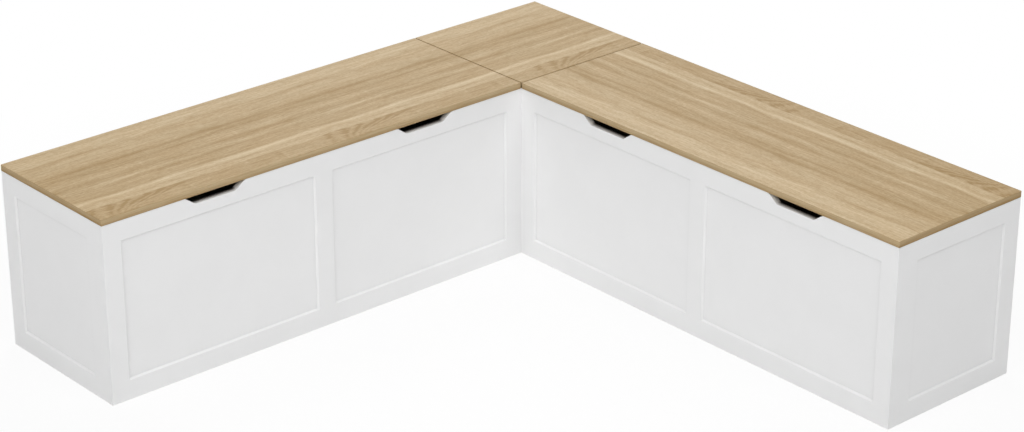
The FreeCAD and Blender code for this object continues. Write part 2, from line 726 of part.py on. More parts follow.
def make_bench(side, frame, outer_side):
    """One storage bench, whose outer end is its high (1) or low (-1) one."""
    front = make_front_panel(side, outer_side)
    words = ("inner_side_panel", "end_panel") if outer_side > 0 else ("end_panel", "inner_side_panel")
    low_end = make_upright("%s_%s" % (side, words[0]), ZERO)
    high_end = make_upright("%s_%s" % (side, words[1]), inner_end)
    outer, inner = (high_end, low_end) if outer_side > 0 else (low_end, high_end)
    frame_upright(outer, outer_side)
    back = Board(side + "_back_panel", "y", (inner_start, back_start, ZERO),
                 (inner_end, unit_depth, carcass_height))
    bottom = Board(side + "_bottom_panel", "z", (inner_start, dim.board, dim.floor_space),
                   (inner_end, back_start, bottom_top))
    divider = Board(side + "_divider", "x", (divider_start, dim.board, bottom_top),
                    (divider_start + dim.board, back_start, divider_height))
    lid = make_lid(side, outer_side)
    joinery = Joinery(side)

    # Both ends to the front, the back and the bottom
    for end, inwards in ((low_end, 1), (high_end, -1)):
        face = end.face(inwards)
        for height in map(Size, CAM_HEIGHTS):
            joinery.cam(front, end, (end.middle(), dim.board, height), "y", 1, inwards)
            joinery.cam(end, back, (face, back_middle, height), "x", inwards, -1)
        for height in map(Size, DOWEL_HEIGHTS):
            joinery.dowel(front, end, (end.middle(), dim.board, height), "y", 1)
            joinery.dowel(end, back, (face, back_middle, height), "x", inwards)
        for depth in map(Size, BOTTOM_CAM_DEPTHS):
            joinery.cam(end, bottom, (face, depth, bottom_middle), "x", inwards, -1)
        joinery.dowel(end, bottom, (face, Size(BOTTOM_DOWEL_DEPTH), bottom_middle), "x", inwards)

    # The bottom and the divider to their neighbours
    for fraction in BOTTOM_DOWEL_FRACTIONS:
        x = bench_length * fraction
        joinery.dowel(front, bottom, (x, dim.board, bottom_middle), "y", 1)
        joinery.dowel(back, bottom, (x, back_start, bottom_middle), "y", -1)
    for height in map(Size, CAM_HEIGHTS):
        joinery.cam(front, divider, (bench_middle, dim.board, height), "y", 1, 1)
    for height in map(Size, DOWEL_HEIGHTS):
        joinery.dowel(front, divider, (bench_middle, dim.board, height), "y", 1)
    for depth in map(Size, DIVIDER_DOWEL_DEPTHS):
        joinery.dowel(bottom, divider, (bench_middle, depth, bottom_top), "z", 1)
    back_screws = Fasteners(side + "_back_screws", back_screw_model)
    for height in map(Size, BACK_SCREW_HEIGHTS):
        spot = (bench_middle, unit_depth, height)
        back_screw_holes(back, divider, spot, "y", -1)
        back_screws.add(spot, TURN_TO["y", 1])
    pads = Fasteners(side + "_lid_pads", pad_model)
    for depth in map(Size, PAD_DEPTHS):
        pads.add((bench_middle, depth, divider_height))

    # The inner side panel to the corner unit
    outwards = -outer_side
    corner_face = inner.face(outwards)
    for height in map(Size, CORNER_CAM_HEIGHTS):
        joinery.socket(inner, (corner_face, back_middle, height), "x", outwards, dowel=False)
    for height in map(Size, CORNER_DOWEL_HEIGHTS):
        joinery.socket(inner, (corner_face, back_middle, height), "x", outwards, dowel=True)
    corner_screws = Fasteners(side + "_corner_screws", joining_screw_model)
    for depth, height in corner_screw_places(side):
        spot = (inner.face(-outwards), depth, height)
        screw_hole(inner, spot, "x", outwards, JOINING_SCREW, dim.board)
        corner_screws.add(spot, TURN_TO["x", -outwards])

    fit_hinges(side, back, lid, frame)
    for group in (joinery, back_screws, pads, corner_screws):
        group.close(frame)
    for board in (front, outer, inner, back, bottom, divider, lid):
        board.close(frame)


# Corner unit

def make_corner(frame):
    """The fixed corner: two backs, a post, two cleats and the top that they carry."""
    post_start = unit_depth - dim.post_width
    cleat_start = unit_depth - dim.cleat_width
    cleat_low = lid_underside - dim.cleat_height
    left_back = Board("corner_left_back_panel", "x", (ZERO, ZERO, ZERO),
                      (dim.board, unit_depth, lid_underside))
    right_back = Board("corner_right_back_panel", "y", (dim.board, back_start, ZERO),
                       (unit_depth, unit_depth, lid_underside))
    post = Board("corner_post", "z", (post_start, ZERO, ZERO),
                 (unit_depth, dim.post_width, lid_underside))
    left_cleat = Board("corner_left_cleat", "y", (dim.board, ZERO, cleat_low),
                       (post_start, dim.cleat_width, lid_underside))
    right_cleat = Board("corner_right_cleat", "x", (cleat_start, dim.post_width, cleat_low),
                        (unit_depth, back_start, lid_underside))
    top = Board("corner_top", "z", (ZERO, dim.seam / 2 - dim.front_overhang, lid_underside),
                (dim.seat_depth - dim.seam / 2, unit_depth, dim.seat_height))
    top.round_edges(dim.edge_round, lambda edge: True)
    joinery = Joinery("corner")

    # The backs to the benches and to each other
    for height in map(Size, CORNER_CAM_HEIGHTS):
        joinery.cam_in(left_back, (left_back.middle(), ZERO, height), "y", 1, 1)
        joinery.cam_in(right_back, (unit_depth, back_middle, height), "x", -1, -1)
    for height in map(Size, CORNER_DOWEL_HEIGHTS):
        joinery.dowel_in(left_back, (left_back.middle(), ZERO, height), "y", 1)
        joinery.dowel_in(right_back, (unit_depth, back_middle, height), "x", -1)
    back_screws = Fasteners("corner_back_screws", back_screw_model)
    for height in map(Size, CORNER_SCREW_HEIGHTS):
        spot = (ZERO, back_middle, height)
        back_screw_holes(left_back, right_back, spot, "x", 1)
        back_screws.add(spot, TURN_TO["x", -1])

    # Pilot holes for the screws that come from the benches
    grip = JOINING_SCREW[1] - dim.board + 0.5
    for depth, height in corner_screw_places("left"):
        holder = post if depth.value < dim.post_width.value else left_cleat
        screw_hole(holder, (unit_depth - depth, ZERO, height), "y", 1, JOINING_SCREW, grip)
    for depth, height in corner_screw_places("right"):
        holder = post if depth.value < dim.post_width.value else right_cleat
        screw_hole(holder, (unit_depth, depth, height), "x", -1, JOINING_SCREW, grip)

    # The top, screwed on from below
    top_screws = Fasteners("corner_top_screws", top_screw_model)
    for along in map(Size, TOP_SCREW_PLACES):
        for cleat, x, y in (
            (left_cleat, along, dim.cleat_width / 2),
            (right_cleat, unit_depth - dim.cleat_width / 2, along),
        ):
            screw_hole(cleat, (x, y, cleat_low), "z", 1, TOP_SCREW, dim.cleat_height)
            top_grip = TOP_SCREW[1] - dim.cleat_height + 0.5
            screw_hole(top, (x, y, lid_underside), "z", 1, TOP_SCREW, top_grip)
            top_screws.add((x, y, cleat_low), TURN_TO["z", -1])

    for group in (joinery, back_screws, top_screws):
        group.close(frame)
    for board in (left_back, right_back, post, left_cleat, right_cleat, top):
        board.close(frame)


# Whole bench

def find_faults():
    """Names every object that failed, is not a valid solid, or cut nothing away."""
    faults = [item.Name for item in doc.Objects if {"Invalid", "Error"} & set(item.State)]
    faults += [item.Label for item in finished if item.Shape.isNull() or not item.Shape.isValid()]
    for item in doc.Objects:
        if item.TypeId == "PartDesign::Pocket":
            removed = item.BaseFeature.Shape.Volume - item.Shape.Volume
            if removed < VOLUME_TOLERANCE:
                faults.append(item.Name)
    return faults


def main():
    wall_x = (hinge_protrusion - dim.wing_length) / 2
    wall_y = -wall_x
    inner_x = wall_x + unit_depth
    inner_y = wall_y - unit_depth
    quarter_turn = Rotation(Vector(0, 0, 1), 90)
    make_bench("left", ((inner_x, inner_y - bench_length, ZERO), quarter_turn), -1)
    make_bench("right", ((inner_x, inner_y, ZERO), Rotation()), 1)
    make_corner(((wall_x, inner_y, ZERO), Rotation()))
    doc.recompute()
    faults = find_faults()
    if faults:
        raise RuntimeError("failed objects: " + ", ".join(faults))
    os.makedirs("parts", exist_ok=True)
    for item in finished:
        item.Shape.exportStep("parts/%s.step" % item.Label)
    print("%d sub-parts written" % len(finished))


main()
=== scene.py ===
import math
import random

import bmesh
import bpy
from bpy.props import FloatProperty, FloatVectorProperty, PointerProperty
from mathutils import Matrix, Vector


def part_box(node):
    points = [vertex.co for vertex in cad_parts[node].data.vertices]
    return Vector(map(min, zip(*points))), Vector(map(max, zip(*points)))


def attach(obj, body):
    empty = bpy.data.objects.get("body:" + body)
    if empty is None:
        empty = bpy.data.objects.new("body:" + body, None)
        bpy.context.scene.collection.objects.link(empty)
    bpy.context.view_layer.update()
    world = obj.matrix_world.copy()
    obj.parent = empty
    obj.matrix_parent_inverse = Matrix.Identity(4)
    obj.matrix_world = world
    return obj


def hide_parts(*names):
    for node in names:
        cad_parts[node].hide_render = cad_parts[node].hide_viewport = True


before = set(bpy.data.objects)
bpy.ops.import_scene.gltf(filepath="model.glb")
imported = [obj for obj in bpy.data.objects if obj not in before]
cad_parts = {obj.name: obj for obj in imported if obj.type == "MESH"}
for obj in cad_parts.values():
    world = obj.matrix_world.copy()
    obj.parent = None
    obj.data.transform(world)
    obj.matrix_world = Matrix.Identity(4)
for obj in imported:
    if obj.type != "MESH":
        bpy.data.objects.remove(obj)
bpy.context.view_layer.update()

bl_info = {
    "name": "Corner storage bench",
    "version": (1, 0, 0),
    "blender": (4, 5, 0),
    "location": "View3D > Sidebar > Bench",
    "description": "Finishes, fittings and studio of an L-shaped storage bench",
    "category": "Object",
}

MM = 0.001

# Where a Mix node has its factor and its two inputs among its sockets, for colours and for numbers, and
# where it has its result
MIX_COLOURS, MIXED_COLOUR = (0, 6, 7), 2
MIX_NUMBERS, MIXED_NUMBER = (0, 2, 3), 0

TOPS = ("left_lid", "right_lid", "corner_top")
WHITE_BOARDS = tuple(name for name in sorted(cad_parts) if name.endswith(("_panel", "_divider")))
CLEATS = ("corner_left_cleat", "corner_right_cleat")

# The strips that the oak print is made up of, from a top's front edge to its back: where each ends, in mm
# from the front edge, and its tone from 0 dark to 1 light
OAK_STRIPS = ((56, 0.36), (99, 0.60), (262, 0.40), (280, 0.47), (338, 0.54), (400, 0.64))

# Streaks that run all along the print: middle and half width in mm, and change of tone
OAK_STREAKS = (
    (74, 5, -0.07), (91, 6, 0.28), (109, 6, -0.04), (145, 6, -0.14), (159, 5, 0.16), (181, 10, -0.12),
    (202, 6, 0.09), (230, 9, -0.15), (254, 8, -0.26), (333, 5, -0.10), (368, 10, 0.08), (387, 5, -0.09),
)

# Short streaks and spots: place along and across, half length and half width in mm, change of tone
OAK_SPOTS = (
    (56, 26, 4, 18, 0.13), (65, 34, 9, 4, -0.18), (95, 50, 42, 4, -0.16), (205, 104, 50, 4, -0.12),
    (262, 96, 45, 4, -0.18), (312, 180, 16, 6, -0.14), (198, 228, 30, 7, -0.14), (150, 331, 18, 3, -0.14),
    (440, 27, 4, 18, 0.16), (450, 33, 7, 7, -0.24), (450, 48, 8, 6, -0.18), (500, 32, 45, 4, -0.17),
    (495, 77, 40, 4, -0.18), (480, 145, 75, 5, -0.12), (512, 45, 9, 4, 0.14), (535, 46, 4, 9, 0.18),
    (608, 34, 26, 5, -0.18), (535, 333, 10, 3, -0.20), (592, 333, 14, 3, -0.18), (622, 173, 20, 5, -0.18),
    (595, 228, 25, 6, -0.12), (575, 110, 40, 5, -0.10), (195, 32, 60, 18, -0.09),
)

# A fragment that the print holds twice, with the distance between the two
OAK_FRAGMENT = (
    (70, 205, 4, 12, 0.18), (117, 224, 3, 20, 0.15), (133, 229, 3, 14, 0.12), (105, 262, 55, 8, -0.12),
)
FRAGMENT_STEP = 382

# Layers of grain, coarse to fine: length and width in mm, seed, detail, roughness, and reach in tone
OAK_GRAIN = (
    (160, 9, 2.7, 3.0, 0.55, 0.30),
    (75, 2.6, 5.9, 2.0, 0.5, 0.36),
    (30, 0.9, 7.7, 2.0, 0.5, 0.34),
    (9, 3, 8.9, 2.0, 0.5, 0.36),
)

# The levels that the finger notches lie between, in m
NOTCH_LOW = 0.410
NOTCH_HIGH = 0.4343

# Each lamp's direction round the bench and its height above the horizon, in degrees
LAMPS = (
    ("left_low", 8, 30),
    ("left_high", 8, 55),
    ("right_low", 86, 30),
    ("right_high", 88, 55),
    ("rear", 228, 45),
)

# The point that the lamps stand round and how far from it, the point that they face, and their width, in m
LAMP_CENTRE = Vector((0, 0, 0.25))
LAMP_DISTANCE = 4.5
LAMP_AIM = Vector((-0.1, 0.1, 0.3))
LAMP_WIDTH = 2.5

# Half the floor's width, and how far from its middle its own white starts to grow and is full, in m
FLOOR_REACH = 40.0
VEIL_START = 1.1
VEIL_END = 2.0


def tint(red, green, blue):
    """A colour written as it shows on a screen, from 0 to 255, as the linear values that Blender keeps."""
    def linear(part):
        part /= 255
        return part / 12.92 if part <= 0.04045 else ((part + 0.055) / 1.055) ** 2.4
    return (linear(red), linear(green), linear(blue))


def size(label, description, default):
    """A setting that is a length, in metres."""
    return FloatProperty(name=label, description=description, default=default, unit="LENGTH", precision=5)


def colour(label, description, default):
    """A setting that is a colour."""
    return FloatVectorProperty(name=label, description=description, default=default, size=3,
                               subtype="COLOR", min=0, max=1)


def share(label, description, default):
    """A setting that is a share, from 0 to 1."""
    return FloatProperty(name=label, description=description, default=default, min=0, max=1,
                         subtype="FACTOR")


def angle(label, description, degrees):
    """A setting that is an angle."""
    return FloatProperty(name=label, description=description, default=math.radians(degrees),
                         subtype="ANGLE", unit="ROTATION")


def power(label, description, watts):
    """A setting that is a lamp's power."""
    return FloatProperty(name=label, description=description + ", in watts", default=watts, min=0)


class OakSettings(bpy.types.PropertyGroup):
    """Sizes and colours of the printed oak on the tops."""

    repeat: size("Repeat", "Length after which the print starts again along the grain", 645 * MM)
    wander: size("Wander", "How far the streaks stray sideways", 8 * MM)
    dark: colour("Dark", "Colour of the darkest grain", tint(152, 125, 80))
    middle: colour("Middle", "Colour halfway between dark and light", tint(178, 154, 116))
    light: colour("Light", "Colour of the lightest grain", tint(203, 183, 148))
    blush: colour("Blush", "Tint of the print's warmer patches", tint(255, 248, 238))


class WhiteSettings(bpy.types.PropertyGroup):
    """Colour and texture of the white boards."""

    foil: colour("Foil", "Colour of the white foil", tint(239, 239, 239))
    grain: size("Grain", "Size of the foil's fine emboss", 0.5 * MM)
    chip: colour("Chipboard", "Colour of the raw core at the boards' feet", tint(190, 160, 118))
    # Painted shade: the dark colour that the floors of the finger notches fade to towards the back
    notch_shade: colour("Notch shade", "Colour of the bare core at the back of the finger notches", tint(74, 69, 65))
    # Painted shade: the inner corners of the sunk fields are darkened by an ambient occlusion of the foil's
    # own board
    painted_crevice_shade: share("Crevice shade", "How much the inner corners of the sunk fields are dulled", 0.6)


class TimberSettings(bpy.types.PropertyGroup):
    """Colours of the solid timber."""

    softwood: colour("Softwood", "Colour of the planed cleats", tint(224, 196, 150))
    late_growth: colour("Late growth", "Colour of the softwood's darker rings", tint(196, 152, 98))
    primer: colour("Primer", "Colour of the white paint on the corner post", tint(236, 236, 234))
    beech: colour("Beech", "Colour of the dowels", tint(214, 178, 140))
    beech_fleck: colour("Beech fleck", "Colour of the dowels' short flecks", tint(170, 124, 86))


class MetalSettings(bpy.types.PropertyGroup):
    """Colours of the metal fittings and the pads."""

    plate: colour("Zinc plate", "Colour of the plated steel", tint(196, 198, 202))
    casting: colour("Zinc casting", "Colour of the cast cams", tint(160, 161, 164))
    felt: colour("Felt", "Colour of the lid pads", tint(104, 98, 92))


class StageSettings(bpy.types.PropertyGroup):
    """Camera, lamps and floor."""

    azimuth: angle("Azimuth", "Camera's direction round the bench", 48.67)
    elevation: angle("Elevation", "Camera's height above the horizon", 24.505)
    distance: size("Distance", "Camera to the point that it aims at", 6.558)
    aim: FloatVectorProperty(name="Aim", description="Point that the camera looks at", size=3,
                             default=(-0.204, 0.1976, 0.225), subtype="TRANSLATION", unit="LENGTH")
    lens: FloatProperty(name="Lens", description="Focal length", default=98.62, unit="CAMERA")
    sky: FloatProperty(name="Sky", description="Strength of the light from all round", default=0.22, min=0)
    left_low: power("Left low", "Lamp before the left end, low", 46)
    left_high: power("Left high", "Lamp before the left end, high", 44)
    right_low: power("Right low", "Lamp before the right end, low", 30)
    right_high: power("Right high", "Lamp before the right end, high", 55)
    rear: power("Rear", "Lamp behind the corner, for the tops", 79)
    floor: colour("Floor", "Colour of the floor", tint(240, 240, 240))
    veil: share("Veil", "How far the floor's own white hides the shading near the bench", 0.90)


class Recipe:
    """The nodes of one material, added a step at a time."""

    def __init__(self, name, **constants):
        self.material = bpy.data.materials.new(name)
        self.material.use_nodes = True
        self.tree = self.material.node_tree
        self.shader = self.tree.nodes["Principled BSDF"]
        for socket, value in constants.items():
            self.shader.inputs[socket.replace("_", " ")].default_value = value
        place = self.node("ShaderNodeTexCoord")
        self.point = place.outputs["Object"]
        self.normal = place.outputs["Normal"]

    def node(self, kind, **settings):
        """Adds a node of a kind, with its settings."""
        made = self.tree.nodes.new(kind)
        for name, value in settings.items():
            setattr(made, name, value)
        return made

    def feed(self, socket, value):
        """Sets a socket to a plain value, or links it to another node's output."""
        if isinstance(value, bpy.types.NodeSocket):
            self.tree.links.new(value, socket)
        else:
            socket.default_value = value

    def value(self, operation, *inputs):
        """A number worked out from others."""
        made = self.node("ShaderNodeMath", operation=operation)
        for socket, item in zip(made.inputs, inputs):
            self.feed(socket, item)
        return made.outputs[0]

    def vector(self, operation, *inputs, output="Vector"):
        """A vector worked out from others, or a number where that is the output asked for."""
        made = self.node("ShaderNodeVectorMath", operation=operation)
        for socket, item in zip(made.inputs, inputs):
            self.feed(socket, item)
        return made.outputs[output]

    def along(self, direction, origin=(0, 0, 0)):
        """The distance of a surface point from an origin, measured along a direction."""
        offset = self.vector("SUBTRACT", self.point, origin)
        return self.vector("DOT_PRODUCT", offset, direction, output="Value")

    def facing(self, direction):
        """How squarely the surface faces along a direction, either way, from 0 to 1."""
        turned = self.vector("DOT_PRODUCT", self.normal, direction, output="Value")
        return self.value("ABSOLUTE", turned)

    def combine(self, *parts):
        """A vector made of three numbers."""
        made = self.node("ShaderNodeCombineXYZ")
        for socket, item in zip(made.inputs, parts):
            self.feed(socket, item)
        return made.outputs[0]

    def noise(self, vector, detail=2.0, roughness=0.5, size=1.0):
        """A soft noise whose blotches are about a size across."""
        made = self.node("ShaderNodeTexNoise")
        self.feed(made.inputs["Vector"], vector)
        made.inputs["Scale"].default_value = 1 / size
        made.inputs["Detail"].default_value = detail
        made.inputs["Roughness"].default_value = roughness
        return made.outputs["Fac"]

    def spread(self, value, low, high, to_low=0.0, to_high=1.0):
        """Stretches a value's range from low and high to two others, and holds it within them."""
        made = self.node("ShaderNodeMapRange", interpolation_type="SMOOTHSTEP")
        for name, item in zip(("Value", "From Min", "From Max", "To Min", "To Max"),
                              (value, low, high, to_low, to_high)):
            self.feed(made.inputs[name], item)
        return made.outputs["Result"]

    def blend(self, factor, first, second, how="MIX"):
        """A colour between two others, each a node's output or three plain values."""
        made = self.node("ShaderNodeMix", data_type="RGBA", blend_type=how)
        factor_socket, *colour_sockets = (made.inputs[number] for number in MIX_COLOURS)
        self.feed(factor_socket, factor)
        for socket, item in zip(colour_sockets, (first, second)):
            self.feed(socket, item if isinstance(item, bpy.types.NodeSocket) else (*item, 1))
        return made.outputs[MIXED_COLOUR]

    def choose(self, factor, first, second):
        """A number between two others."""
        made = self.node("ShaderNodeMix", data_type="FLOAT")
        for number, item in zip(MIX_NUMBERS, (factor, first, second)):
            self.feed(made.inputs[number], item)
        return made.outputs[MIXED_NUMBER]

    def above(self, value, level):
        """1 where a value is above a level, or else 0."""
        return self.value("GREATER_THAN", value, level)

    def crevice(self, reach, strength):
        """How much an inner corner of the same board is shut in, up to a strength."""
        corner = self.node("ShaderNodeAmbientOcclusion")
        corner.only_local = True
        corner.samples = 8
        corner.inputs["Distance"].default_value = reach
        return self.spread(corner.outputs["AO"], 0.0, 1.0, strength, 0.0)

    def foot(self):
        """1 on the faces that stand on the floor, and 0 above."""
        return self.spread(self.along((0, 0, 1)), 0.2 * MM, 0.4 * MM, 1, 0)

    def ramp(self, factor, stops):
        """A colour read from stops of place and colour."""
        made = self.node("ShaderNodeValToRGB")
        points = made.color_ramp.elements
        while len(points) < len(stops):
            points.new(0.5)
        for point, (place, shade) in zip(points, stops):
            point.position = place
            point.color = (*shade, 1)
        self.feed(made.inputs["Fac"], factor)
        return made.outputs["Color"]

    def bump(self, height, depth):
        """Raises the surface by a height from 0 to 1, times a depth in metres."""
        made = self.node("ShaderNodeBump")
        made.inputs["Distance"].default_value = depth
        self.feed(made.inputs["Height"], height)
        self.feed(self.shader.inputs["Normal"], made.outputs["Normal"])

    def finish(self, **outputs):
        """Feeds the shader and returns the material."""
        for socket, value in outputs.items():
            self.feed(self.shader.inputs[socket.replace("_", " ")], value)
        return self.material


def nodes_in(slot):
    """The frame's nodes that are made of one of the record's materials."""
    def made_of_it(thing):
        used = [entry.material for entry in thing.material_slots if entry.material]
        return any(material.name.split(".")[0] == slot for material in used)
    return [name for name, thing in sorted(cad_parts.items()) if made_of_it(thing)]


def dress(nodes, material):
    """Gives a material to a list of the frame's nodes."""
    for name in nodes:
        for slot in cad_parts[name].material_slots:
            slot.material = material


def centred(recipe, noise, reach):
    """A noise moved to both sides of zero, as far as the reach at most."""
    return recipe.value("MULTIPLY_ADD", noise, 2 * reach, -reach)


def total(recipe, parts):
    """The sum of several values."""
    result = parts[0]
    for part in parts[1:]:
        result = recipe.value("ADD", result, part)
    return result


class OakPrint:
    """The printed oak: its tone over a top, which repeats along the grain."""

    def __init__(self, recipe, run, across, depth, settings):
        self.recipe = recipe
        self.repeat = settings.repeat
        self.run = recipe.value("WRAP", run, self.repeat, 0.0)
        self.depth = depth
        turn = recipe.value("MULTIPLY", run, 2 * math.pi / self.repeat)
        self.ring = (recipe.value("COSINE", turn), recipe.value("SINE", turn))
        stray = self.streaks(across, 190 * MM, 60 * MM, seed=1.3)
        self.across = recipe.value("ADD", across, centred(recipe, stray, settings.wander))
        self.place = recipe.combine(self.run, self.across, 0.0)

    def streaks(self, across, length, width, seed, detail=2.0, roughness=0.5):
        """A noise of streaks of about a length and width that repeats with the print."""
        recipe = self.recipe
        radius = self.repeat / (2 * math.pi * length)
        first, second = (recipe.value("MULTIPLY_ADD", part, radius, seed) for part in self.ring)
        third = recipe.value("MULTIPLY_ADD", across, 1 / width, seed * 7)
        third = recipe.value("MULTIPLY_ADD", self.depth, 1 / width, third)
        return recipe.noise(recipe.combine(first, second, third), detail, roughness)

    def add_spot(self, so_far, run, across, half_length, half_width, change):
        """Adds a soft spot of another tone, or a streak all along where the half length is None."""
        recipe = self.recipe
        narrow = (0 if half_length is None else 1 / (half_length * MM), 1 / (half_width * MM), 0)
        middle = (-run * MM * narrow[0], -across * MM * narrow[1], 0)
        offset = recipe.vector("MULTIPLY_ADD", self.place, narrow, middle)
        square = recipe.vector("DOT_PRODUCT", offset, offset, output="Value")
        return recipe.value("MULTIPLY_ADD", recipe.value("POWER", 1 / math.e, square), change, so_far)

    def strips(self):
        """The tone of the strips that the print is made up of, with a narrow change between two."""
        width = OAK_STRIPS[-1][0]
        half_change = 2
        stops = []
        start = 0
        for end, tone in OAK_STRIPS:
            grey = (tone,) * 3
            stops += [((start + half_change) / width, grey), ((end - half_change) / width, grey)]
            start = end
        factor = self.recipe.value("MULTIPLY", self.across, 1 / (width * MM))
        return self.recipe.ramp(factor, stops)

    def all_streaks(self):
        """The streaks that run all along, each stronger here and weaker there."""
        result = 0.0
        for across, half_width, change in OAK_STREAKS:
            result = self.add_spot(result, 0, across, None, half_width, change)
        strength = self.recipe.spread(self.streaks(self.across, 150 * MM, 26 * MM, 8.2), 0.3, 0.7, 0.55, 1.4)
        return self.recipe.value("MULTIPLY", result, strength)

    def spots(self):
        """The short streaks and spots, and the fragment in its two places."""
        result = 0.0
        for run, across, half_length, half_width, change in OAK_SPOTS:
            result = self.add_spot(result, run, across, half_length, half_width, change)
        for run, *rest in OAK_FRAGMENT:
            result = self.add_spot(result, run, *rest)
            result = self.add_spot(result, run + FRAGMENT_STEP, *rest)
        return result

    def heels(self):
        """Where along the grain the curved stroke through a point would end in its heel."""
        recipe = self.recipe
        front, heel_line = 3 * MM, 50 * MM
        near = recipe.value("MINIMUM", recipe.value("MAXIMUM", self.across, front), heel_line)
        # A stroke bows more and more on its way from the front edge to the line of the heels
        slope, bend, start = 0.6, 8.6, 2 * MM
        bow = recipe.value("MULTIPLY_ADD", near, bend, slope)
        bow = recipe.value("MULTIPLY_ADD", bow, near, start)
        whole_bow = (bend * heel_line + slope) * heel_line + start
        rise = recipe.value("MULTIPLY_ADD", bow, -1 / whole_bow, 1)
        # The first strokes lean over the most, and the lean lessens along the grain down to a least one
        lean, lessening, least_lean = 213 * MM, 0.75, 20 * MM
        leaning = recipe.value(
            "DIVIDE",
            recipe.value("MULTIPLY_ADD", rise, -lean, self.run),
            recipe.value("MULTIPLY_ADD", rise, -lessening, 1),
        )
        steep = recipe.value("MULTIPLY_ADD", rise, -least_lean, self.run)
        uneven = centred(recipe, self.streaks(self.across, 40 * MM, 12 * MM, seed=4.1), 22 * MM)
        return recipe.value("ADD", recipe.value("MINIMUM", leaning, steep), uneven)

    def fan(self):
        """Curved strokes that open out from the front edge and end in a row of dark heels."""
        recipe = self.recipe
        heel = self.heels()
        first_heel, pitch = 15 * MM, 47.5 * MM
        sharpness, darkness = 2.2, 0.80
        turn = recipe.value("MULTIPLY", recipe.value("SUBTRACT", heel, first_heel), 2 * math.pi / pitch)
        stroke = recipe.value("MULTIPLY_ADD", recipe.value("COSINE", turn), 0.5, 0.5)
        stroke = recipe.value("POWER", stroke, sharpness)
        within = recipe.value(
            "MULTIPLY",
            recipe.spread(heel, 30 * MM, 95 * MM, 0.0, 1),
            recipe.spread(heel, 280 * MM, 318 * MM, 1, 0),
        )
        fade = recipe.value(
            "MULTIPLY",
            recipe.spread(self.across, 6 * MM, 48 * MM, 0.30, 1),
            recipe.spread(self.across, 53 * MM, 57 * MM, 1, 0),
        )
        weight = recipe.spread(self.streaks(self.across, 28 * MM, 7 * MM, seed=9.4), 0.35, 0.65, 0.45, 1.3)
        shape = recipe.value("MULTIPLY", recipe.value("MULTIPLY", stroke, within), fade)
        return recipe.value("MULTIPLY", recipe.value("MULTIPLY", shape, weight), -darkness)

    def tone(self):
        """The print's tone, from 0 dark to 1 light."""
        parts = [self.strips(), self.all_streaks(), self.spots(), self.fan()]
        for length, width, seed, detail, roughness, reach in OAK_GRAIN:
            grain = self.streaks(self.across, length * MM, width * MM, seed, detail, roughness)
            parts.append(centred(self.recipe, grain, reach))
        return total(self.recipe, parts)

    def pores(self):
        """Fine dark pores, short along the grain and crowded in places, from 0 to 1."""
        grain = self.streaks(self.across, 7 * MM, 0.5 * MM, seed=3.3, detail=1.0)
        clusters = self.streaks(self.across, 110 * MM, 8 * MM, seed=6.1)
        rarity, crowding, softness = 0.78, 0.25, 0.08
        low = self.recipe.value("MULTIPLY_ADD", clusters, -crowding, rarity)
        high = self.recipe.value("ADD", low, softness)
        return self.recipe.spread(grain, low, high)


def edge_strip(recipe, run, height, low, end_face):
    """The tone of the strip glued on a top's edges: fine lines along it, and darker near the underside."""
    line_length, line_width, drift = 90 * MM, 1.6 * MM, 400 * MM
    lines = recipe.combine(
        recipe.value("MULTIPLY", run, 1 / line_length),
        recipe.value("MULTIPLY", height, 1 / line_width),
        recipe.value("MULTIPLY", run, 1 / drift),
    )
    side_tone, end_tone = 0.54, 0.32
    middle = recipe.choose(end_face, side_tone, end_tone)
    # Painted shading: the edge is darkened towards the underside and lightened towards the top face
    painted_edge_shading = recipe.spread(height, low + 1 * MM, low + 11 * MM, -0.26, 0.12)
    return total(recipe, [middle, painted_edge_shading, centred(recipe, recipe.noise(lines, 3.0, 0.6), 0.60)])


def make_oak(name, settings, low, origin, along, across):
    """The oak print of one top, from its underside's level, and where its print starts and how it lies."""
    recipe = Recipe(name, IOR=1.5, Specular_IOR_Level=0.25)
    run = recipe.along(along, origin)
    side = recipe.along(across, origin)
    height = recipe.along((0, 0, 1))
    end_face = recipe.spread(recipe.facing(along), 0.6, 0.8)
    edge_face = recipe.spread(recipe.facing((0, 0, 1)), 0.3, 0.6, 1, 0)
    oak = OakPrint(recipe, run, side, height, settings)
    strip = edge_strip(recipe, recipe.choose(end_face, run, side), height, low, end_face)
    pores = oak.pores()
    pore_darkness, pore_roughness, pore_depth = 0.12, 0.12, 0.6
    tone = recipe.choose(edge_face, oak.tone(), strip)
    tone = recipe.value("MULTIPLY_ADD", pores, -pore_darkness, tone)
    shade = recipe.ramp(tone, ((0, settings.dark), (0.5, settings.middle), (1, settings.light)))
    warm = recipe.spread(oak.streaks(oak.across, 110 * MM, 40 * MM, 3.9), 0.3, 0.7, 0, 0.35)
    shade = recipe.blend(warm, shade, settings.blush, "MULTIPLY")
    rough = recipe.value("MULTIPLY_ADD", pores, pore_roughness, recipe.spread(tone, 0, 1, 0.56, 0.48))
    recipe.bump(recipe.value("MULTIPLY_ADD", pores, -pore_depth, tone), 0.06 * MM)
    return recipe.finish(Base_Color=shade, Roughness=rough)


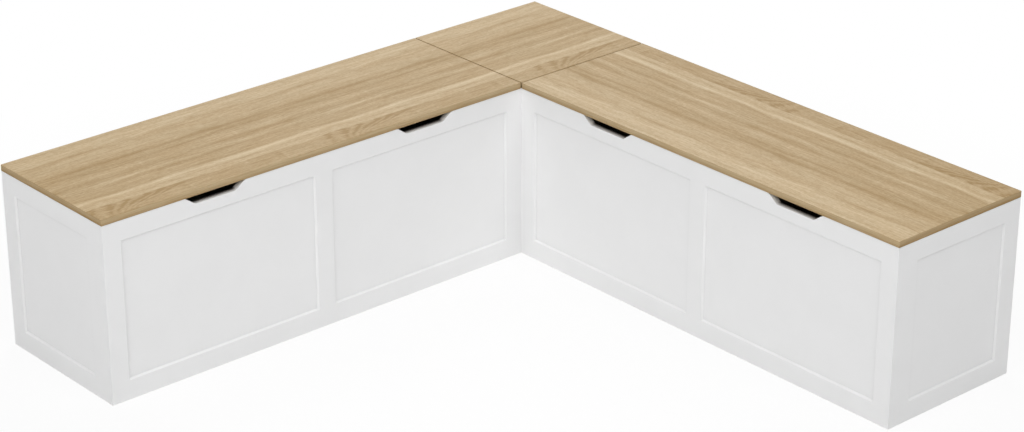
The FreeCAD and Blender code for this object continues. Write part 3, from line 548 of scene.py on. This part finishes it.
def make_white(settings):
    """Satin white foil with a fine emboss, over a core that shows in the notches and under the boards."""
    recipe = Recipe("white_foil", IOR=1.48)
    fine = recipe.noise(recipe.point, size=settings.grain)
    cloud = recipe.noise(recipe.point, 3.0, 0.6, size=120 * MM)
    peel = recipe.noise(recipe.point, 1.0, size=5 * MM)
    dimmer = tuple(part * 0.985 for part in settings.foil)
    shade = recipe.blend(recipe.spread(cloud, 0.3, 0.7), dimmer, settings.foil)
    # Painted shade: the upright faces are darkened near the inner corners of the sunk fields
    upright = recipe.value("MAXIMUM", recipe.facing((1, 0, 0)), recipe.facing((0, 1, 0)))
    shut_in = recipe.crevice(12 * MM, settings.painted_crevice_shade)
    painted_crevice_shade = recipe.value("MULTIPLY", shut_in, recipe.spread(upright, 0.92, 0.97))
    black = (0.0, 0.0, 0.0)
    shade = recipe.blend(painted_crevice_shade, shade, black)
    # Painted shade: the floors of the finger notches are darkened towards the back
    shade = recipe.blend(notch_shade_mask(recipe), shade, settings.notch_shade)
    shade = recipe.blend(recipe.foot(), shade, make_chips(recipe, settings.chip))
    rough = recipe.spread(cloud, 0.25, 0.75, 0.40, 0.48)
    recipe.bump(recipe.value("MULTIPLY_ADD", peel, 0.6, fine), 0.01 * MM)
    return recipe.finish(Base_Color=shade, Roughness=rough)


def notch_shade_mask(recipe):
    """How far back a point lies in a finger notch, where the foil ends: 0 at the front and 1 behind.

    It is also 1 on the dividers' top edges, which lie level with the notches.
    """
    left_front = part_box("left_front_panel")[1].x
    right_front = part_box("right_front_panel")[0].y
    height = recipe.along((0, 0, 1))
    in_notch = recipe.value(
        "MULTIPLY",
        recipe.spread(recipe.facing((0, 0, 1)), 0.70, 0.97),
        recipe.value("MULTIPLY", recipe.above(height, NOTCH_LOW), recipe.above(NOTCH_HIGH, height)),
    )
    behind_left = recipe.along((-1, 0, 0), (left_front, 0, 0))
    behind_right = recipe.along((0, 1, 0), (0, right_front, 0))
    inward = recipe.value("MAXIMUM", behind_left, behind_right)
    return recipe.value("MULTIPLY", in_notch, recipe.spread(inward, 2 * MM, 15 * MM))


def make_chips(recipe, tone):
    """The raw core of a board: pressed chips of many tones."""
    chips = recipe.node("ShaderNodeTexVoronoi")
    chips.inputs["Scale"].default_value = 1 / (2.2 * MM)
    recipe.feed(chips.inputs["Vector"], recipe.point)
    dark = tuple(part * 0.55 for part in tone)
    level = recipe.vector("DOT_PRODUCT", chips.outputs["Color"], (1, 0, 0), output="Value")
    return recipe.blend(level, dark, tone)


def make_softwood(name, settings, along, primed):
    """Planed softwood with growth lines along a direction, bare or under white paint."""
    recipe = Recipe(name, IOR=1.48)
    stretch = tuple(1 - 0.93 * abs(part) for part in along)
    grain = recipe.vector("MULTIPLY", recipe.point, stretch)
    ring_width, ring_sway, ring_sharpness = 3.4 * MM, 22, 2.2
    sway = recipe.value("MULTIPLY", recipe.noise(grain, 2.0, size=22 * MM), ring_sway)
    askew = (1.0, 0.83, 0.71)
    across = recipe.vector("DOT_PRODUCT", grain, askew, output="Value")
    phase = recipe.value("MULTIPLY_ADD", across, 2 * math.pi / ring_width, sway)
    rings = recipe.value("MULTIPLY_ADD", recipe.value("SINE", phase), 0.5, 0.5)
    rings = recipe.value("POWER", rings, ring_sharpness)
    fibre = recipe.noise(grain, 2.0, size=0.9 * MM)
    level = recipe.value("MULTIPLY_ADD", fibre, 0.35, recipe.value("MULTIPLY", rings, 0.7))
    if primed:
        along_post = recipe.combine(recipe.along(along), 0.0, 0.0)
        cloud = recipe.spread(recipe.noise(along_post, size=60 * MM), 0.3, 0.7)
        dimmer = tuple(part * 0.97 for part in settings.primer)
        shade = recipe.blend(cloud, dimmer, settings.primer)
        rough = recipe.spread(fibre, 0.3, 0.7, 0.50, 0.60)
    else:
        shade = recipe.blend(level, settings.softwood, settings.late_growth)
        rough = recipe.spread(level, 0, 1, 0.62, 0.52)
    recipe.bump(level, (0.03 if primed else 0.08) * MM)
    return recipe.finish(Base_Color=shade, Roughness=rough)


def make_beech(settings):
    """Beech with the short dark flecks that dowels show."""
    recipe = Recipe("beech_dowel", IOR=1.48)
    flecks = recipe.noise(recipe.point, 2.0, size=0.8 * MM)
    cloud = recipe.noise(recipe.point, 2.0, size=9 * MM)
    mark = recipe.spread(flecks, 0.58, 0.68)
    level = recipe.value("MULTIPLY_ADD", cloud, 0.3, recipe.value("MULTIPLY", mark, 0.55))
    shade = recipe.blend(level, settings.beech, settings.beech_fleck)
    recipe.bump(flecks, 0.05 * MM)
    return recipe.finish(Base_Color=shade, Roughness=recipe.spread(cloud, 0.3, 0.7, 0.55, 0.65))


def make_zinc_plate(settings):
    """Bright zinc plating with a faint straw cast, fine scratches and uneven shine."""
    recipe = Recipe("zinc_plate", Metallic=1.0)
    cloud = recipe.noise(recipe.point, 3.0, 0.6, size=7 * MM)
    scratch = recipe.noise(recipe.vector("MULTIPLY", recipe.point, (1, 1, 0.08)), 2.0, size=0.25 * MM)
    straw = tuple(part * change for part, change in zip(settings.plate, (1.0, 0.97, 0.86)))
    shade = recipe.blend(recipe.spread(cloud, 0.4, 0.75), settings.plate, straw)
    rough = recipe.value("MULTIPLY_ADD", scratch, 0.12, recipe.spread(cloud, 0.25, 0.75, 0.24, 0.38))
    recipe.bump(scratch, 0.012 * MM)
    return recipe.finish(Base_Color=shade, Roughness=rough)


def make_zinc_casting(settings):
    """The dull, slightly grainy skin of a zinc casting, darker in patches."""
    recipe = Recipe("zinc_casting_skin", Metallic=1.0)
    grain = recipe.noise(recipe.point, 3.0, 0.6, size=0.4 * MM)
    cloud = recipe.noise(recipe.point, 2.0, size=6 * MM)
    dull = tuple(part * 0.72 for part in settings.casting)
    shade = recipe.blend(recipe.spread(cloud, 0.3, 0.7), dull, settings.casting)
    rough = recipe.value("MULTIPLY_ADD", grain, 0.15, 0.40)
    recipe.bump(grain, 0.03 * MM)
    return recipe.finish(Base_Color=shade, Roughness=rough)


def make_felt(settings):
    """Pressed wool felt: matted fibres with lighter hairs on top."""
    recipe = Recipe("pressed_felt", Roughness=0.95, Sheen_Weight=0.35, Sheen_Roughness=0.5)
    mat = recipe.noise(recipe.point, 4.0, 0.7, size=0.6 * MM)
    hair = recipe.noise(recipe.vector("MULTIPLY", recipe.point, (1.0, 0.2, 1.0)), 2.0, size=0.15 * MM)
    dark = tuple(part * 0.6 for part in settings.felt)
    shade = recipe.blend(recipe.spread(mat, 0.3, 0.7), dark, settings.felt)
    pale = tuple(min(part * 1.7, 1) for part in settings.felt)
    shade = recipe.blend(recipe.spread(hair, 0.62, 0.75, 0, 0.6), shade, pale)
    recipe.bump(recipe.value("MULTIPLY_ADD", hair, 0.5, mat), 0.25 * MM)
    return recipe.finish(Base_Color=shade)


class BENCH_OT_finish_tops(bpy.types.Operator):
    """Gives the two lids and the corner top their oak print"""

    bl_idname = "bench.finish_tops"
    bl_label = "Finish the tops"

    def execute(self, context):
        settings = context.scene.bench_oak
        corner_low, corner_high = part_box("corner_top")
        wall = (corner_low.x, corner_high.y, 0)
        left_front = (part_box("left_lid")[1].x, corner_high.y, 0)
        left = (left_front, (0, -1, 0), (-1, 0, 0))
        right = (wall, (1, 0, 0), (0, -1, 0))
        # The corner top carries on the left lid's print
        for name, (origin, along, across) in zip(TOPS, (left, right, left)):
            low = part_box(name)[0].z
            dress([name], make_oak(name + "_oak", settings, low, origin, along, across))
        return {"FINISHED"}


class BENCH_OT_finish_panels(bpy.types.Operator):
    """Gives the fronts, ends, backs, bottoms and dividers their white foil"""

    bl_idname = "bench.finish_panels"
    bl_label = "Finish the white boards"

    def execute(self, context):
        dress(WHITE_BOARDS, make_white(context.scene.bench_white))
        return {"FINISHED"}


class BENCH_OT_finish_timber(bpy.types.Operator):
    """Gives the corner post its white paint, and the cleats and dowels their bare wood"""

    bl_idname = "bench.finish_timber"
    bl_label = "Finish the solid timber"

    def execute(self, context):
        settings = context.scene.bench_timber
        dress(["corner_post"], make_softwood("primed_post", settings, (0, 0, 1), True))
        for name in CLEATS:
            low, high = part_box(name)
            along = (1, 0, 0) if high.x - low.x > high.y - low.y else (0, 1, 0)
            dress([name], make_softwood(name + "_wood", settings, along, False))
        dress(nodes_in("beech"), make_beech(settings))
        return {"FINISHED"}


class BENCH_OT_finish_fittings(bpy.types.Operator):
    """Gives the hinges, screws, bolts and cams their metal"""

    bl_idname = "bench.finish_fittings"
    bl_label = "Finish the fittings"

    def execute(self, context):
        settings = context.scene.bench_metal
        dress(nodes_in("zinc_plated_steel"), make_zinc_plate(settings))
        dress(nodes_in("zinc_casting"), make_zinc_casting(settings))
        return {"FINISHED"}


def find_pads(node):
    """The middle and the half sizes of each separate pad in a node."""
    same_point = 0.001 * MM
    mesh = bmesh.new()
    mesh.from_mesh(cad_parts[node].data)
    bmesh.ops.remove_doubles(mesh, verts=mesh.verts, dist=same_point)
    unseen = set(mesh.verts)
    pads = []
    while unseen:
        waiting = [unseen.pop()]
        found = []
        while waiting:
            point = waiting.pop()
            found.append(point.co.copy())
            for edge in point.link_edges:
                other = edge.other_vert(point)
                if other in unseen:
                    unseen.remove(other)
                    waiting.append(other)
        low, high = (Vector(map(pick, zip(*found))) for pick in (min, max))
        pads.append(((low + high) / 2, (high - low) / 2))
    mesh.free()
    return sorted(pads, key=lambda pad: tuple(pad[0]))


def add_pad(mesh, middle, half, luck):
    """A felt disc with flat faces, round shoulders and a slightly ragged rim."""
    sides = 40
    shoulder, flat, rim = 0.42, 0.30, 0.5
    raggedness = 0.035
    ragged = [1 - raggedness * luck.random() for _ in range(sides)]
    climb = [math.radians(degrees) for degrees in range(-90, 91, 18)]
    levels = [(1 - shoulder * (1 - math.cos(turn)), math.sin(turn)) for turn in climb]
    levels = [(flat, -1), *levels, (flat, 1)]
    rings = []
    for out, up in levels:
        ring = []
        for number, rag in enumerate(ragged):
            turn = 2 * math.pi * number / sides
            reach = out * (rag if out > rim else 1)
            spot = Vector((math.cos(turn) * reach * half.x, math.sin(turn) * reach * half.y, up * half.z))
            ring.append(mesh.verts.new(middle + spot))
        rings.append(ring)
    for lower, upper in zip(rings, rings[1:]):
        for number in range(sides):
            after = (number + 1) % sides
            mesh.faces.new((lower[number], lower[after], upper[after], upper[number])).smooth = True
    for ring, level, turned in ((rings[0], -half.z, True), (rings[-1], half.z, False)):
        centre = mesh.verts.new(middle + Vector((0, 0, level)))
        for number in range(sides):
            pair = (ring[number], ring[(number + 1) % sides])
            mesh.faces.new((centre, *(reversed(pair) if turned else pair))).smooth = True


class BENCH_OT_make_pads(bpy.types.Operator):
    """Makes the soft felt pads that the lids close on"""

    bl_idname = "bench.make_pads"
    bl_label = "Make the lid pads"

    def execute(self, context):
        material = make_felt(context.scene.bench_metal)
        luck = random.Random(7)
        for side in ("left", "right"):
            node = side + "_lid_pads"
            draft = bmesh.new()
            for middle, half in find_pads(node):
                add_pad(draft, middle, half, luck)
            mesh = bpy.data.meshes.new(side + "_felt_pads")
            draft.to_mesh(mesh)
            draft.free()
            mesh.materials.append(material)
            piece = bpy.data.objects.new(side + "_felt_pads", mesh)
            context.scene.collection.objects.link(piece)
            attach(piece, "carcass")
            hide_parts(node)
        return {"FINISHED"}


def direction(azimuth, elevation):
    """The way from the bench to a point round it, where azimuth 0 lies before the left end."""
    level = math.cos(elevation)
    return Vector((math.sin(azimuth) * level, -math.cos(azimuth) * level, math.sin(elevation)))


def add_lamp(name, watts, azimuth, elevation):
    """A soft square lamp round the bench that the camera doesn't see."""
    data = bpy.data.lights.new(name, "AREA")
    data.shape = "SQUARE"
    data.size = LAMP_WIDTH
    data.energy = watts
    lamp = bpy.data.objects.new(name, data)
    lamp.location = LAMP_CENTRE + direction(azimuth, elevation) * LAMP_DISTANCE
    lamp.rotation_mode = "QUATERNION"
    lamp.rotation_quaternion = (LAMP_AIM - lamp.location).to_track_quat("-Z", "Y")
    lamp.visible_camera = False
    bpy.context.scene.collection.objects.link(lamp)


def seen_directly(tree):
    """A factor that is 1 for what the camera sees, straight or through gloss or glass."""
    path = tree.nodes.new("ShaderNodeLightPath")
    seen = path.outputs["Is Camera Ray"]
    for name in ("Is Glossy Ray", "Is Transmission Ray"):
        add = tree.nodes.new("ShaderNodeMath")
        add.operation = "ADD"
        add.use_clamp = True
        tree.links.new(seen, add.inputs[0])
        tree.links.new(path.outputs[name], add.inputs[1])
        seen = add.outputs[0]
    return seen


def make_floor_material(settings):
    """A pale floor that shows white, with the bench's shadow left on it."""
    material = bpy.data.materials.new("stage_floor")
    material.use_nodes = True
    tree = material.node_tree
    tree.nodes.clear()
    output = tree.nodes.new("ShaderNodeOutputMaterial")
    mix = tree.nodes.new("ShaderNodeMixShader")
    diffuse = tree.nodes.new("ShaderNodeBsdfDiffuse")
    glow = tree.nodes.new("ShaderNodeEmission")
    diffuse.inputs["Color"].default_value = (*settings.floor, 1)
    place = tree.nodes.new("ShaderNodeNewGeometry")
    far = tree.nodes.new("ShaderNodeVectorMath")
    far.operation = "LENGTH"
    tree.links.new(place.outputs["Position"], far.inputs[0])
    cover = tree.nodes.new("ShaderNodeMapRange")
    cover.interpolation_type = "SMOOTHSTEP"
    cover.inputs["From Min"].default_value = VEIL_START
    cover.inputs["From Max"].default_value = VEIL_END
    cover.inputs["To Min"].default_value = settings.veil
    tree.links.new(far.outputs["Value"], cover.inputs["Value"])
    veil = tree.nodes.new("ShaderNodeMath")
    veil.operation = "MULTIPLY"
    tree.links.new(seen_directly(tree), veil.inputs[0])
    tree.links.new(cover.outputs["Result"], veil.inputs[1])
    tree.links.new(veil.outputs[0], mix.inputs["Fac"])
    tree.links.new(diffuse.outputs[0], mix.inputs[1])
    tree.links.new(glow.outputs[0], mix.inputs[2])
    tree.links.new(mix.outputs[0], output.inputs["Surface"])
    return material


class BENCH_OT_make_stage(bpy.types.Operator):
    """Makes the floor, the lamps, the white surroundings and the camera"""

    bl_idname = "bench.make_stage"
    bl_label = "Make the stage"

    def execute(self, context):
        scene = context.scene
        settings = scene.bench_stage
        self.make_floor(settings)
        self.make_surroundings(scene, settings)
        for name, azimuth, elevation in LAMPS:
            add_lamp(name + "_lamp", getattr(settings, name), math.radians(azimuth), math.radians(elevation))
        self.make_camera(scene, settings)
        scene.view_settings.view_transform = "Standard"
        return {"FINISHED"}

    @staticmethod
    def make_floor(settings):
        """A level floor that reaches past the edges of the view."""
        mesh = bpy.data.meshes.new("stage_floor")
        quarters = ((-1, -1), (1, -1), (1, 1), (-1, 1))
        corners = [(x * FLOOR_REACH, y * FLOOR_REACH, 0) for x, y in quarters]
        mesh.from_pydata(corners, [], [(0, 1, 2, 3)])
        mesh.materials.append(make_floor_material(settings))
        floor = bpy.data.objects.new("stage_floor", mesh)
        bpy.context.scene.collection.objects.link(floor)

    @staticmethod
    def make_surroundings(scene, settings):
        """A weak even light from all round, which looks white."""
        world = bpy.data.worlds.new("stage_surroundings")
        world.use_nodes = True
        tree = world.node_tree
        background = tree.nodes["Background"]
        background.inputs["Color"].default_value = (1, 1, 1, 1)
        strength = tree.nodes.new("ShaderNodeMix")
        strength.data_type = "FLOAT"
        factor, light, sight = (strength.inputs[number] for number in MIX_NUMBERS)
        tree.links.new(seen_directly(tree), factor)
        light.default_value = settings.sky
        sight.default_value = 1.0
        tree.links.new(strength.outputs[MIXED_NUMBER], background.inputs["Strength"])
        scene.world = world

    @staticmethod
    def make_camera(scene, settings):
        """The camera, turned to the point that it aims at."""
        data = bpy.data.cameras.new("camera")
        data.lens = settings.lens
        camera = bpy.data.objects.new("camera", data)
        back = direction(settings.azimuth, settings.elevation)
        camera.location = Vector(settings.aim) + back * settings.distance
        camera.rotation_mode = "QUATERNION"
        camera.rotation_quaternion = (-back).to_track_quat("-Z", "Y")
        scene.collection.objects.link(camera)
        scene.camera = camera


PROPERTY_GROUPS = {
    "bench_oak": OakSettings,
    "bench_white": WhiteSettings,
    "bench_timber": TimberSettings,
    "bench_metal": MetalSettings,
    "bench_stage": StageSettings,
}
OPERATORS = (
    BENCH_OT_finish_tops,
    BENCH_OT_finish_panels,
    BENCH_OT_finish_timber,
    BENCH_OT_finish_fittings,
    BENCH_OT_make_pads,
    BENCH_OT_make_stage,
)


class VIEW3D_PT_bench(bpy.types.Panel):
    """Lists the bench's settings and steps in the sidebar"""

    bl_label = "Corner storage bench"
    bl_space_type = "VIEW_3D"
    bl_region_type = "UI"
    bl_category = "Bench"

    def draw(self, context):
        for name, group in PROPERTY_GROUPS.items():
            column = self.layout.column(heading=group.__doc__.rstrip("."))
            settings = getattr(context.scene, name)
            for key in group.__annotations__:
                column.prop(settings, key)
        for operator in OPERATORS:
            self.layout.operator(operator.bl_idname)


def register():
    for group in (*PROPERTY_GROUPS.values(), *OPERATORS, VIEW3D_PT_bench):
        bpy.utils.register_class(group)
    for name, group in PROPERTY_GROUPS.items():
        setattr(bpy.types.Scene, name, PointerProperty(type=group))


def unregister():
    for name in PROPERTY_GROUPS:
        delattr(bpy.types.Scene, name)
    for group in (VIEW3D_PT_bench, *reversed(OPERATORS), *PROPERTY_GROUPS.values()):
        bpy.utils.unregister_class(group)


def main():
    """Makes everything in order, and writes the frame's box and the finished model's."""
    register()
    for operator in OPERATORS:
        group, name = operator.bl_idname.split(".")
        getattr(getattr(bpy.ops, group), name)()


if __name__ == "__main__":
    main()
